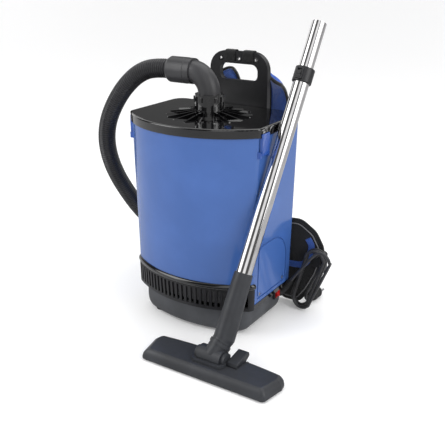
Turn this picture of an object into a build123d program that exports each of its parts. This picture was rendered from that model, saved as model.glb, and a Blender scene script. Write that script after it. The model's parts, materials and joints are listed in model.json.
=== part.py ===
from build123d import *
import os
from math import asin, degrees, pi, radians, sqrt, tan

# Backpack vacuum cleaner: a D-shaped canister on a harness, with its suction hose, its mains
# lead and its telescopic wand and floor head. Millimetres. The origin is under the middle of
# the canister on the floor, +X to the machine's right seen from its front, +Y towards the
# wearer's back and +Z up.

# ---- driving dimensions ----
# canister
FLOOR_GAP = 8.0
TUB_TOP_Z = 66.0
TRIM_TOP_Z = 76.0
GRILLE_TOP_Z = 130.0
HOUSING_TOP_Z = 455.0
LID_TOP_Z = 475.0
BODY_HALF_TOP = 163.0
BODY_HALF_LOW = 153.5
CORNER_Y_TOP = -54.0
CORNER_Y_LOW = -58.0
BULGE_TOP = 74.0
BULGE_LOW = 48.0
REAR_Y = 129.0
REAR_R = 17.0
WALL = 3.0
RIM_CLEARANCE = 0.4
GRILLE_REAR_Y = -50.0
GRILLE_SLOTS = 26
# height, half width, bulge and rear line of the tub's plan
TUB_LEVELS = ((FLOOR_GAP, 130, 28, 114), (15, 137, 31, 119), (38, 141, 33, 122), (TUB_TOP_Z, 143, 34, 124))
TUB_CORNER_Y = -56.0
COVER_GROOVE = 4.4
COVER_SCREWS = ((-23, 94), (82, 94))
# latches: their range along Y and their pin's X and Z
LATCH_Y = (-52.0, -24.0)
LATCH_AXIS = (166.2, 420.0)
LATCH_PIN_R = 1.5
# inlet
INLET_X, INLET_Y = 6.0, 3.0
ELBOW_R, ELBOW_BEND_R = 24.0, 44.0
ELBOW_Z = 520.0
HOSE_R = 21.0
CUFF_R = 28.0
CUFF_X = (-95.0, -47.0)
# harness
PLATE_FRONT_Y, PLATE_BACK_Y = 131.0, 145.0
PLATE_HALF = 76.0
PLATE_Z = (70.0, 594.0)
SLOT_HALF, SLOT_Z = 50.0, (530.0, 567.0)
PLATE_HOLES_X, PLATE_HOLES_Z = (-46.0, 2.0, 46.0), 578.0
LOOPS_X = (-21.5, 25.5)
STRAP_X, STRAP_WIDTH, STRAP_THICK = 68.0, 60.0, 14.0
STRAP_LINE = ((153, 540), (176, 533), (198, 508), (208, 460), (206, 395), (196, 320), (184, 262), (177, 228))
WING_Y, WING_THICK = 146.0, 14.0
# switch and mains lead
SWITCH_Y, SWITCH_Z = 75.0, 52.0
SWITCH_HALF_Y, SWITCH_HALF_Z = 12.0, 11.5
LEAD_R = 3.5
LEAD_EXIT = (167.0, 104.0, 80.0)
GLAND_FOOT = (147.0, 102.0, 52.0)
HOOK_PEG = (218.0, 147.0)
PLUG_X = 187.0
LEAD_ROUTE = (
    LEAD_EXIT,
    (178, 103.5, 96),
    (191, 104.5, 114),
    (203, 106.5, 131),
    (213, 109.5, 145),
    (222, 114, 154.5),
)
# suction hose
HOSE_ROUTE = (
    (-95, 3, 564),
    (-142, 3, 564),
    (-188, 3, 546),
    (-229, 3, 512),
    (-263, 4, 470),
    (-290, 7, 424),
    (-304, 13, 376),
    (-308, 26, 326),
    (-305, 46, 276),
    (-300, 74, 228),
    (-298, 110, 178),
    (-300, 156, 130),
    (-298, 210, 82),
    (-276, 262, 44),
    (-232, 302, 26),
    (-172, 324, 25),
    (-112, 322, 25.5),
    (-60, 304, 25.5),
)
# wand and floor head
WAND_FOOT = (163.9, -183.5, 66.0)
WAND_LEAN = (0.0564, 0.517, 1.0)
TUBE_R, INNER_TUBE_R, TUBE_WALL = 17.0, 15.5, 1.2
COLLAR_S = (545.0, 577.0)
WAND_TOP_S = 676.0
SPIGOT_R, SPIGOT_LENGTH = 14.2, 40.0
INNER_TUBE_LENGTH = 480.0
HEAD_X = 153.0
NECK_PIVOT = (153.0, -212.0, 33.0)
HEAD_HALF = 157.0
HEAD_TOP_Z = 26.0
BARREL_R, BARREL_HALF = 20.0, 27.0
PEDAL_X, PEDAL_Y = (189.0, 214.0), (-217.0, -167.0)
PEDAL_AXIS = (-192.0, 25.0)
MOUTH_X, MOUTH_Y = (28.0, 278.0), (-240.0, -222.0)
BRUSH_Y = (-253.0, -217.0)
ROLLER_X, ROLLER_Y, ROLLER_R = (50.0, 256.0), -190.0, 6.5

wand_axis = Vector(*WAND_LEAN).normalized()
wand = Plane(origin=WAND_FOOT, x_dir=(wand_axis.Z, 0, -wand_axis.X), z_dir=wand_axis)
neck_axis = (Vector(*WAND_FOOT) - Vector(*NECK_PIVOT)).normalized()
neck = Plane(origin=NECK_PIVOT, x_dir=(neck_axis.Z, 0, -neck_axis.X), z_dir=neck_axis)
swivel_s = (Vector(*WAND_FOOT) - Vector(*NECK_PIVOT)).length - 12.0


# ---- helpers ----
def rod(radius, low, high):
    """An upright cylinder between two heights."""
    upright = Cylinder(radius, high - low, align=(Align.CENTER, Align.CENTER, Align.MIN))
    return Pos(0, 0, low) * upright


def pipe(outer, inner, low, high):
    """An upright tube between two heights."""
    return rod(outer, low, high) - rod(inner, low - 1, high + 1)


def block(x, y, z):
    """A box from its ranges along X, Y and Z."""
    size = Box(x[1] - x[0], y[1] - y[0], z[1] - z[0], align=(Align.MIN, Align.MIN, Align.MIN))
    return Pos(x[0], y[0], z[0]) * size


def both_sides(shape):
    """The shape and its mirror image across the machine's middle plane."""
    return [shape, mirror(shape, about=Plane.YZ)]


def rounded(points, radii):
    """A closed outline with its own radius at each corner."""
    return make_face(FilletPolyline(*points, radius=radii, close=True).edges())


def save(shape, name):
    """Writes one node; a list of solids becomes one group."""
    if isinstance(shape, list):
        shape = Compound(children=[solid for part in shape for solid in part.solids()])
    export_step(shape, f"parts/{name}.step")


def d_face(z, half, corner_y, bulge, rear_y, front_r=12.0, rear_r=34.0):
    """The canister's plan: a bulged front between two corners, straight sides, a flat rear."""
    left, right = (-half, corner_y), (half, corner_y)
    rear_right, rear_left = (half, rear_y), (-half, rear_y)
    front = ThreePointArc(left, (0, corner_y - bulge), right)
    sides = Polyline(right, rear_right, rear_left, left)
    face = make_face(front.edges() + sides.edges())
    face = fillet(face.vertices().group_by(Axis.Y)[0], front_r)
    face = fillet(face.vertices().group_by(Axis.Y)[-1], rear_r)
    return Pos(0, 0, z) * face


def body_at(z):
    """The housing's half width, corner line and bulge at a height: it tapers downwards."""
    t = (z - TRIM_TOP_Z) / (HOUSING_TOP_Z - TRIM_TOP_Z)
    half = BODY_HALF_LOW + t * (BODY_HALF_TOP - BODY_HALF_LOW)
    corner_y = CORNER_Y_LOW + t * (CORNER_Y_TOP - CORNER_Y_LOW)
    bulge = BULGE_LOW + t * (BULGE_TOP - BULGE_LOW)
    return half, corner_y, bulge


def body_face(z, out=0.0):
    """The housing's plan at a height, grown outwards by some distance."""
    half, corner_y, bulge = body_at(z)
    return d_face(z, half + out, corner_y, bulge + out, REAR_Y + out, 12 + out, REAR_R + out)


def body_loft(low, high, out=0.0):
    """The housing's taper between two heights, grown outwards by some distance."""
    return loft([body_face(low, out), body_face(high, out)])


# ---- canister ----
def tub_body():
    """The tub's outer shape, as a solid."""
    return loft([d_face(z, half, TUB_CORNER_Y, bulge, rear, 26) for z, half, bulge, rear in TUB_LEVELS])


def base_tub():
    inner = loft([d_face(z, half - WALL, TUB_CORNER_Y, bulge - WALL, rear - WALL, 23, 31)
                  for z, half, bulge, rear in ((12, 133, 30, 117), (38, 141, 33, 122), (67, 143, 34, 124))])
    return tub_body() - inner - switch_block((139.6, 160), 0.3)


def base_feet():
    """Four corner feet and one under the middle."""
    places = [(x, y) for x in (-100, 100) for y in (-48, 88)] + [(0, 0)]
    return [Pos(x, y, 0) * rod(14, 0, FLOOR_GAP) for x, y in places]


def base_trim():
    outer = body_loft(TUB_TOP_Z, TRIM_TOP_Z, 1.2)
    hollow = extrude(d_face(TUB_TOP_Z - 1, 139, -56, 30, 120, 23, 31), 12)
    return outer - hollow


def side_cover_face(inset):
    """The arched side cover's outline in Y and Z."""
    low, front, rear = 84 + inset, -36 + inset, 97 - inset
    points = ((front, low), (front, 212 - inset), (rear, 212 - inset), (rear, low))
    return rounded(points, [8, 14, 72 - inset, 8])


def side_prism(inset):
    return extrude(Plane.YZ.offset(100) * side_cover_face(inset), 100)


def housing_shell():
    shell = body_loft(TRIM_TOP_Z, HOUSING_TOP_Z) - body_loft(TRIM_TOP_Z - 1, HOUSING_TOP_Z + 1, -WALL - 0.5)
    shell -= block((-200, 200), (-200, GRILLE_REAR_Y), (0, GRILLE_TOP_Z))
    skin = body_loft(TRIM_TOP_Z - 1, 240, 2) - body_loft(TRIM_TOP_Z - 1, 240, -2)
    for recess in both_sides(skin & side_prism(0)):
        shell -= recess
    return shell


def side_cover():
    skin = body_loft(TRIM_TOP_Z - 1, 240, 0) - body_loft(TRIM_TOP_Z - 1, 240, -1.95)
    cover = skin & side_prism(COVER_GROOVE)
    for y, z in COVER_SCREWS:
        cover -= Pos(150, y, z) * Rot(0, 90, 0) * Cylinder(4.2, 40)
    return cover


def case_screws():
    heads = [Pos(body_at(z)[0] - 1.2, y, z) * Rot(0, 90, 0) * Cylinder(3.9, 1.4) for y, z in COVER_SCREWS]
    pairs = [screw for head in heads for screw in both_sides(head)]
    for x in (-52, 52):
        for z in (110, 250, 400):
            pairs.append(Pos(x, PLATE_BACK_Y + 0.4, z) * Rot(90, 0, 0) * Cylinder(5, 0.8))
    return pairs


def front_circle(z, out):
    """Radius and centre line of the bulged front's arc."""
    half, corner_y, bulge = body_at(z)
    half, bulge = half + out, bulge + out
    radius = (half * half + bulge * bulge) / (2 * bulge)
    return radius, corner_y - bulge + radius


def exhaust_grille():
    body = body_loft(TUB_TOP_Z + 0.2, GRILLE_TOP_Z - 14, 3) - body_loft(TUB_TOP_Z - 1, GRILLE_TOP_Z, -1)
    body -= body_loft(TUB_TOP_Z - 1, TRIM_TOP_Z, 1.3)
    body &= block((-200, 200), (-200, GRILLE_REAR_Y - 0.3), (0, 200))
    radius, centre_y = front_circle(95, 1)
    reach = degrees(asin(145 / radius))
    slot = Pos(0, -radius, 93.5) * Box(6.4, 30, 40)
    for i in range(GRILLE_SLOTS):
        angle = -reach + 2 * reach * i / (GRILLE_SLOTS - 1)
        body -= Pos(0, centre_y, 0) * Rot(0, 0, angle) * slot
    return body


def grille_lip():
    low = GRILLE_TOP_Z - 13.8
    levels = ((low, 2.6), (low + 3, 5), (low + 7, 6), (low + 11, 4.6), (GRILLE_TOP_Z - 0.2, 1.5))
    lip = loft([body_face(z, out) for z, out in levels]) - body_loft(low - 1, GRILLE_TOP_Z + 1, -1)
    return lip & block((-200, 200), (-200, GRILLE_REAR_Y - 0.3), (0, 200))


def exhaust_filter():
    foam = body_loft(80, 126, -1.5) - body_loft(79, 127, -9.5)
    return foam & block((-140, 140), (-200, GRILLE_REAR_Y - 8), (0, 200))


# ---- inside the canister ----
def motor_deck():
    deck = extrude(body_face(132, -WALL - 0.7), 4)
    return deck - Pos(0, 20, 0) * rod(30, 120, 150)


def motor_can():
    can = rod(54, 12.2, 82) + rod(60, 78, 83.8)
    return Pos(0, 20, 0) * (can - rod(5.05, 60, 90))


def fan_shroud():
    shroud = rod(66, 84, 125) - rod(62.5, 87, 122) - rod(26, 120, 130) - rod(9, 80, 90)
    return Pos(0, 20, 0) * shroud


def motor_seal():
    return Pos(0, 20, 0) * pipe(40, 30, 125.1, 131.8)


def impeller():
    """Radial blades between two discs, on the motor's shaft."""
    wheel = rod(58, 90, 92) + rod(12, 88, 112) + pipe(58, 26, 111, 113)
    for i in range(9):
        wheel += Rot(0, 0, i * 40) * Pos(33, 0, 101.5) * Rot(0, 0, 24) * Box(44, 1.6, 20)
    return Pos(0, 20, 0) * ((wheel & rod(58, 80, 120)) + rod(5, 64, 90))


def filter_bag():
    """The fleece bag: a thin closed skin with a mouth under the inlet."""
    levels = ((146, 96, 26, 78), (190, 126, 40, 100), (432, 138, 52, 110))
    inner_levels = ((149, 93, 23, 75), (190, 123, 37, 97), (429, 135, 49, 107))
    outer, inner = (loft([d_face(z, half, -44, bulge, rear, 20, 40) for z, half, bulge, rear in rows], ruled=True)
                    for rows in (levels, inner_levels))
    return outer - inner - Pos(INLET_X, INLET_Y, 0) * rod(24, 420, 440)


# ---- lid and inlet ----
def lid():
    half, corner_y, bulge = BODY_HALF_TOP + 4, CORNER_Y_TOP - 1, BULGE_TOP + 1.5
    outer = extrude(d_face(HOUSING_TOP_Z + RIM_CLEARANCE, half, corner_y, bulge, REAR_Y + 1, 13, 30),
                    LID_TOP_Z - HOUSING_TOP_Z - RIM_CLEARANCE)
    outer = fillet(outer.faces().sort_by(Axis.Z)[-1].edges(), 4)
    hollow = extrude(d_face(HOUSING_TOP_Z - 1, half - 4, corner_y, bulge - 4, REAR_Y - 3, 10, 26), 17.5)
    keeper = block((half - 3, half + 1.4), (-50, -28), (464, 468))
    for lip in both_sides(keeper):
        outer += lip
    return outer - hollow - Pos(INLET_X, INLET_Y, 0) * rod(27.4, 440, 480)


def lid_gasket():
    half, corner_y, bulge = body_at(HOUSING_TOP_Z)
    top = HOUSING_TOP_Z + RIM_CLEARANCE
    ring = extrude(d_face(top, half - 0.5, corner_y, bulge - 3, REAR_Y - 4, 13, 30), 6)
    hollow = extrude(d_face(HOUSING_TOP_Z - 1, half - 9, corner_y, bulge - 9, REAR_Y - 12, 10, 28), 20)
    return ring - hollow


def inlet_flange():
    """The inlet spigot with its foot and the gusset fins that fan out over the lid."""
    spigot = pipe(27, 21, 446, 511.8) + pipe(46, 27, LID_TOP_Z, 478.5)
    profile = Plane.XZ * make_face(Polyline((24, 475), (94, 475), (92, 476.5), (40, 484), (24, 484), close=True))
    fin = extrude(profile, 1.8, both=True) - rod(23, 470, 490)
    for i in range(18):
        spigot += Rot(0, 0, 10 + i * 20) * fin
    spigot -= rod(21, 440, 520)
    return Pos(INLET_X, INLET_Y, 0) * spigot


def ring_nut():
    nut = pipe(31, 27.3, 484.5, 516) + pipe(31, 24.4, 516, 520)
    lug = Box(5, 5.2, 10)
    for z in (492, 510):
        for i in range(12):
            nut += Rot(0, 0, i * 30) * Pos(31.6, 0, z) * lug
    return Pos(INLET_X, INLET_Y, 0) * (nut - rod(27.3, 480, 516) - rod(24.4, 510, 530))


def elbow():
    """The swan-neck elbow from the inlet to the hose cuff, with the foot that the nut holds."""
    turn = ELBOW_BEND_R
    mid = (INLET_X - turn + turn * sqrt(0.5), INLET_Y, ELBOW_Z + turn * sqrt(0.5))
    end = (INLET_X - turn, INLET_Y, ELBOW_Z + turn)
    path = Line((INLET_X, INLET_Y, 512), (INLET_X, INLET_Y, ELBOW_Z))
    path += ThreePointArc((INLET_X, INLET_Y, ELBOW_Z), mid, end)
    path += Line(end, (CUFF_X[1] - 14, INLET_Y, ELBOW_Z + turn))
    start = Plane(origin=(INLET_X, INLET_Y, 512), z_dir=(0, 0, 1))
    outer = sweep(start * Circle(ELBOW_R), path=path)
    inner = sweep(start * Circle(ELBOW_R - 3.5), path=path)
    foot = Pos(INLET_X, INLET_Y, 0) * rod(27, 512, 515.6)
    mouth = Plane(origin=(CUFF_X[1] + 0.4, INLET_Y, ELBOW_Z + turn), z_dir=(1, 0, 0)) * rod(CUFF_R - 0.5, 0, 14)
    return outer + foot + mouth - inner


def hose_cuff():
    """The cuff that turns on the elbow's end; the hose screws into its far end."""
    length = CUFF_X[1] - CUFF_X[0]
    levels = ((0, CUFF_R - 3), (5, CUFF_R), (length - 1, CUFF_R), (length, CUFF_R - 1))
    cuff = loft([Pos(0, 0, z) * Circle(r) for z, r in levels], ruled=True)
    cuff -= rod(ELBOW_R + 0.3, length - 15, length + 1) + rod(17, -1, 40)
    along = Plane(origin=(CUFF_X[0], INLET_Y, ELBOW_Z + ELBOW_BEND_R), x_dir=(0, 1, 0), z_dir=(1, 0, 0))
    return along * cuff


# ---- latches ----
def latch_pin(radius, reach):
    """A pin along the latch's hinge line, standing out past the lever at both ends."""
    low, high = LATCH_Y[0] - reach, LATCH_Y[1] + reach
    return Pos(LATCH_AXIS[0], high, LATCH_AXIS[1]) * Rot(90, 0, 0) * rod(radius, 0, high - low)


def latch_bracket():
    """Two low ears on the housing's side, with the latch's pin between them."""
    ears = block((155, 168.6), (LATCH_Y[0] - 4, LATCH_Y[0] - 0.6), (413, 426))
    ears += block((155, 168.6), (LATCH_Y[1] + 0.6, LATCH_Y[1] + 4), (413, 426))
    return ears - body_loft(390, 440, 0.02) + latch_pin(LATCH_PIN_R, 2)


def latch():
    """The lever that lies flat on the housing below the lid, with a tab up beside the lid's keeper."""
    outline = ((164.2, 425), (164.2, 454.2), (167.7, 454.4), (167.7, 463), (170.4, 463), (170.6, 452), (170.0, 424),
               (169.0, 417.6), (166.2, 416.2), (163.6, 417.4), (162.6, 420))
    lever = Plane.XZ.offset(-LATCH_Y[1]) * make_face(Polyline(*outline, close=True))
    return extrude(lever, LATCH_Y[1] - LATCH_Y[0]) - latch_pin(LATCH_PIN_R + 0.06, 5)


# ---- harness ----
def back_plate():
    """The carrying plate: a tray with a grip slot, strap holes and rounded upper corners."""
    low, high = PLATE_Z
    outline = [(-PLATE_HALF, low), (-PLATE_HALF, high), (PLATE_HALF, high), (PLATE_HALF, low)]
    radii = [16, 40, 40, 16]
    plate = Plane.XZ.offset(-PLATE_BACK_Y) * rounded(outline, radii)
    plate = extrude(plate, PLATE_BACK_Y - PLATE_FRONT_Y)
    inset = [(x - 6 * (1 if x > 0 else -1), z - 6 * (1 if z > 300 else -1)) for x, z in outline]
    tray = extrude(Plane.XZ.offset(-PLATE_BACK_Y - 1) * rounded(inset, [10, 34, 34, 10]), 11)
    grip = rounded([(-SLOT_HALF, SLOT_Z[0]), (-SLOT_HALF, SLOT_Z[1]), (SLOT_HALF, SLOT_Z[1]),
                    (SLOT_HALF, SLOT_Z[0])], [14, 16, 16, 14])
    collar = extrude(Plane.XZ.offset(-PLATE_BACK_Y) * offset(grip, 6), PLATE_BACK_Y - PLATE_FRONT_Y)
    plate = plate - tray + (collar & plate)
    for z in (180, 330, 480):
        plate += block((-PLATE_HALF + 4, PLATE_HALF - 4), (PLATE_FRONT_Y, PLATE_BACK_Y), (z, z + 5))
    plate -= extrude(Plane.XZ.offset(-PLATE_BACK_Y - 5) * grip, 30)
    for x in PLATE_HOLES_X:
        plate -= along_y(x, PLATE_HOLES_Z, 3.6, 100, 160)
    return plate


def along_y(x, z, radius, low, high):
    """A cylinder along Y between two places on that axis."""
    return Pos(x, high, z) * Rot(90, 0, 0) * rod(radius, 0, high - low)


def plate_eyelets():
    """A flanged metal eyelet in each strap hole."""
    eyelets = []
    for x in PLATE_HOLES_X:
        eyelet = along_y(x, PLATE_HOLES_Z, 3.58, PLATE_FRONT_Y - 1, PLATE_FRONT_Y + 4)
        eyelet += along_y(x, PLATE_HOLES_Z, 6, PLATE_FRONT_Y - 1, PLATE_FRONT_Y)
        eyelets.append(eyelet - along_y(x, PLATE_HOLES_Z, 2.8, 100, 160))
    return eyelets


def lift_loops():
    """The two webbing loops over the plate's top edge, which hold the shoulder straps."""
    loops = []
    for x in LOOPS_X:
        band = block((x - 13.5, x + 13.5), (PLATE_FRONT_Y - 2.6, PLATE_BACK_Y + 2.9), (572, PLATE_Z[1] + 4))
        band = fillet(band.edges().filter_by(Axis.X).sort_by(Axis.Z)[-2:], 4)
        band -= block((-90, 90), (PLATE_FRONT_Y - 0.2, PLATE_BACK_Y + 0.4), (500, PLATE_Z[1] + 0.3))
        loops.append(band)
    return loops


def back_pad():
    pad = block((-84, 84), (PLATE_BACK_Y + 1.0, PLATE_BACK_Y + 16), (150, 448))
    pad = fillet(pad.edges().filter_by(Axis.Y), 26)
    return fillet(pad.faces().sort_by(Axis.Y)[-1].edges(), 6)


def shoulder_strap():
    """One padded strap, arching from behind the grip down to the lower webbing."""
    band = trace(Spline(*STRAP_LINE), STRAP_THICK)
    solid = extrude(Plane.YZ.offset(STRAP_X - STRAP_WIDTH / 2) * band, STRAP_WIDTH)
    return solid


def harness_webbing():
    """The lower strap webbing down to the plate's foot and the belt webbing behind the wings."""
    lower = Spline((175.5, 226), (170, 198), (165.5, 168), (161.8, 137.5))
    strip = extrude(Plane.YZ.offset(STRAP_X - 12.5) * trace(lower, 2.2), 25)
    belt = block((20, 206), (WING_Y + WING_THICK + 0.4, WING_Y + WING_THICK + 2.6), (96, 134))
    return both_sides(strip) + both_sides(belt)


def harness_buckles():
    """The ladder locks on the lower webbing and the two halves of the belt's buckle."""
    ladder = block((STRAP_X - 18, STRAP_X + 18), (-3, 3), (-13, 13))
    ladder -= block((STRAP_X - 13.2, STRAP_X + 13.2), (-2, 2), (-30, 30))
    ladder = Pos(0, 169.2, 193) * Rot(-9, 0, 0) * ladder
    half = block((178, 226), (WING_Y + WING_THICK + 3, WING_Y + WING_THICK + 13), (88, 142))
    half = fillet(half.edges().filter_by(Axis.Y), 8)
    half -= block((184, 190), (100, 200), (94, 136))
    return both_sides(ladder) + both_sides(half)


def hip_wing():
    """One padded wing of the hip belt, in a plane behind the canister."""
    points = ((6, 74), (6, 142), (96, 147), (122, 212), (164, 216), (202, 192), (221, 160), (226, 128),
              (212, 84), (190, 40), (166, 6), (116, 6), (84, 62))
    radii = [8, 8, 30, 30, 40, 40, 30, 30, 40, 30, 22, 30, 30]
    return extrude(Plane.XZ.offset(-WING_Y - WING_THICK) * rounded(points, radii), WING_THICK)


# ---- switch and mains lead ----
def switch_block(x, margin):
    """The switch's outline, grown by a margin, between two places along X."""
    y, z = SWITCH_HALF_Y + margin, SWITCH_HALF_Z + margin
    return block(x, (SWITCH_Y - y, SWITCH_Y + y), (SWITCH_Z - z, SWITCH_Z + z))


def switch_bezel():
    bezel = switch_block((139.8, 146.5), 0)
    bezel = fillet(bezel.faces().sort_by(Axis.X)[-1].edges(), 1.5)
    return bezel - switch_block((141.0, 160), -3)


def rocker_switch():
    half = SWITCH_HALF_Y - 4
    outline = ((-3.6, -half), (2.6, -half), (1.2, 0), (2.6, half), (-3.6, half))
    height = 2 * SWITCH_HALF_Z - 7.4
    key = extrude(make_face(Polyline(*outline, close=True)), height)
    pivot = Pos(-2.7, 0, 0) * rod(1.4, -0.5, height + 0.5)
    return Pos(146.2, SWITCH_Y, SWITCH_Z - height / 2) * (key + pivot)


def cord_gland():
    """The strain relief: a boss on the tub's rear corner and a tapered boot along the lead."""
    along = Vector(*LEAD_EXIT) - Vector(*GLAND_FOOT)
    frame = Plane(origin=GLAND_FOOT, z_dir=along)
    boot = frame * loft([Pos(0, 0, -8) * Circle(8.5), Pos(0, 0, 10) * Circle(8.5),
                         Pos(0, 0, along.length) * Circle(LEAD_R + 1.2)], ruled=True)
    boot += Pos(139, 101, 46) * Sphere(12)
    for i in range(4):
        boot += frame * Pos(0, 0, 14 + 5 * i) * Cylinder(8.6 - 0.75 * i, 2)
    return boot - tub_body() - body_loft(TUB_TOP_Z, TRIM_TOP_Z + 10, 1.25)


def soft_path(name, points):
    """Straight runs joined by the largest tangent arcs that the runs leave room for."""
    radii = []
    for before, here, after in zip(points, points[1:], points[2:]):
        run_in = Vector(*here) - Vector(*before)
        run_out = Vector(*after) - Vector(*here)
        turn = radians(run_in.get_angle(run_out))
        radii.append(0.45 * min(run_in.length, run_out.length) / tan(turn / 2))
    print(name, "radii", [round(r) for r in radii])
    return FilletPolyline(*points, radius=radii)


def soft_tube(name, points, radius):
    path = soft_path(name, points)
    solid = sweep(Plane(origin=path @ 0, z_dir=path % 0) * Circle(radius), path=path)
    section = pi * radius * radius
    print(name, "length", round(path.length), "volume over section", round(solid.volume / section))
    return solid


def cord_hank():
    """The wound lead's outer shape: a flat loop that hangs on the hook, leaning outwards to its top."""
    outline = rounded([(150, 4), (196, 162), (247, 162), (201, 4)], [22, 20, 20, 22])
    gap = rounded([(171, 24), (207.5, 154.5), (232, 154.5), (193, 24)], [4, 6, 6, 4])
    hank = extrude(Plane.XZ.offset(-142) * outline, 29)
    hank = fillet(hank.faces().sort_by(Axis.Y)[0].edges(), 5)
    return hank - extrude(Plane.XZ.offset(-150) * gap, 50)


def cord_hook():
    """A peg on a foot riveted to the belt wing."""
    x, z = HOOK_PEG
    foot = block((x - 16, x + 2), (WING_Y - 3.3, WING_Y - 0.3), (z - 38, z + 3))
    return foot + along_y(x, z, 5, 119, WING_Y - 1)


def mains_plug():
    """The moulded plug on the floor behind the belt, its boot at the hank's back."""
    body = block((PLUG_X - 15, PLUG_X + 15), (172, 210), (0, 27))
    body = fillet(body.edges().filter_by(Axis.Y), 9)
    pins = [along_y(PLUG_X + x, 13.5, 2.4, 209, 228) for x in (-9.5, 9.5)]
    return body + along_y(PLUG_X, 13.5, 6, 142, 174) + pins[0] + pins[1]


# ---- hose end ----
def hose_end():
    """Where the hose ends: its point and the level direction that it points in."""
    last, before = Vector(*HOSE_ROUTE[-1]), Vector(*HOSE_ROUTE[-2])
    return Plane(origin=last, x_dir=(0, 0, 1), z_dir=(last - before).normalized())


def hose_end_cuff():
    return hose_end() * (rod(25, 0, 62) - rod(16, -1, 30) - rod(16.9, 20, 70))


def curved_handle():
    """The bent grip tube with the air regulator's port in its side and a spigot that fits the wand."""
    bend = TangentArc((0, 0, 112), (0, -8, 152), tangent=(0, 0, 1))
    path = Line((0, 0, 24), (0, 0, 112)) + bend
    path += Line(bend @ 1, bend @ 1 + (bend % 1) * 26)
    start = Plane(origin=(0, 0, 24))
    tube = sweep(start * Circle(16.8), path=path) - sweep(start * Circle(14.3), path=path)
    tip = Plane(origin=path @ 1, z_dir=path % 1) * (rod(15, -12, 0) + rod(SPIGOT_R, 0, SPIGOT_LENGTH)
                                                    - rod(12, -20, SPIGOT_LENGTH + 1))
    port = Pos(16, 0, 90) * Box(12, 8, 18)
    return hose_end() * (tube + tip - port)


def air_slider():
    """The regulator's sleeve that slides over the port."""
    return hose_end() * (pipe(20.5, 17.1, 79, 103) + Pos(20.5, 0, 91) * Box(6, 10, 6) - rod(17.1, 60, 120))


# ---- wand ----
def wand_socket():
    """The tapered sleeve at the wand's foot and the knuckle that the neck turns on."""
    sleeve = loft([Pos(0, 0, z) * Circle(r) for z, r in ((0, 22.5), (40, 22), (137, 19.6))], ruled=True)
    socket = wand * (sleeve + Sphere(22.5))
    socket += neck * rod(21.5, swivel_s, swivel_s + 12)
    socket -= wand * (rod(TUBE_R + 0.03, 58, 140) + rod(15, 0, 60))
    return socket - neck * (rod(15, swivel_s - 1, swivel_s + 12) + rod(60, -60, swivel_s)) - wand * Sphere(15)


def wand_tube_lower():
    return wand * pipe(TUBE_R, TUBE_R - TUBE_WALL, 58.2, COLLAR_S[1] - 4)


def wand_collar():
    low, high = COLLAR_S
    collar = rod(20.6, low, high) - rod(TUBE_R + 0.03, low - 1, high - 4) - rod(INNER_TUBE_R + 0.25, low, high + 1)
    collar = fillet(collar.edges().filter_by(GeomType.CIRCLE).group_by(SortBy.RADIUS)[-1], 2)
    collar += Pos(0, -20.5, (low + high) / 2) * Box(15, 7, 24)
    collar -= rod(TUBE_R + 0.03, low - 1, high - 4)
    collar -= Pos(0, -23, (low + high) / 2) * Box(10, 5, 18)
    return wand * collar


def telescope_button():
    """The release slide in the collar's housing."""
    button = Pos(0, -22.9, sum(COLLAR_S) / 2 - 2.4) * Box(9.4, 4.2, 12.6)
    button += Pos(0, -25.6, sum(COLLAR_S) / 2 - 2.4) * Box(8, 1.6, 2.4)
    return wand * button


def wand_tube_upper():
    tube = pipe(INNER_TUBE_R, INNER_TUBE_R - TUBE_WALL, WAND_TOP_S - INNER_TUBE_LENGTH, WAND_TOP_S)
    return wand * tube


# ---- floor head ----
def head_face(z, inset=0.0):
    """The floor head's plan: a straight front edge and a gently bowed rear edge."""
    half, front, rear = HEAD_HALF - inset, -260 + inset, -180 - inset
    outline = [Line((-half + 10, front), (half - 10, front)), Line((half - 10, front), (half, -206)),
               Line((half, -206), (half - 4, rear)),
               ThreePointArc((half - 4, rear), (0, rear + 9), (-half + 4, rear)),
               Line((-half + 4, rear), (-half, -206)), Line((-half, -206), (-half + 10, front))]
    face = make_face(outline)
    face = fillet(face.vertices().group_by(Axis.Y)[-1], max(18 - inset, 6))
    face = fillet(face.vertices().group_by(Axis.Y)[0], 7)
    return Pos(HEAD_X, 0, z) * face


def pivot_rod(radius, low, high):
    """A cylinder about the neck's pivot line, between two distances from its middle."""
    return Pos(NECK_PIVOT) * Rot(0, 90, 0) * rod(radius, low, high)


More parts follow.
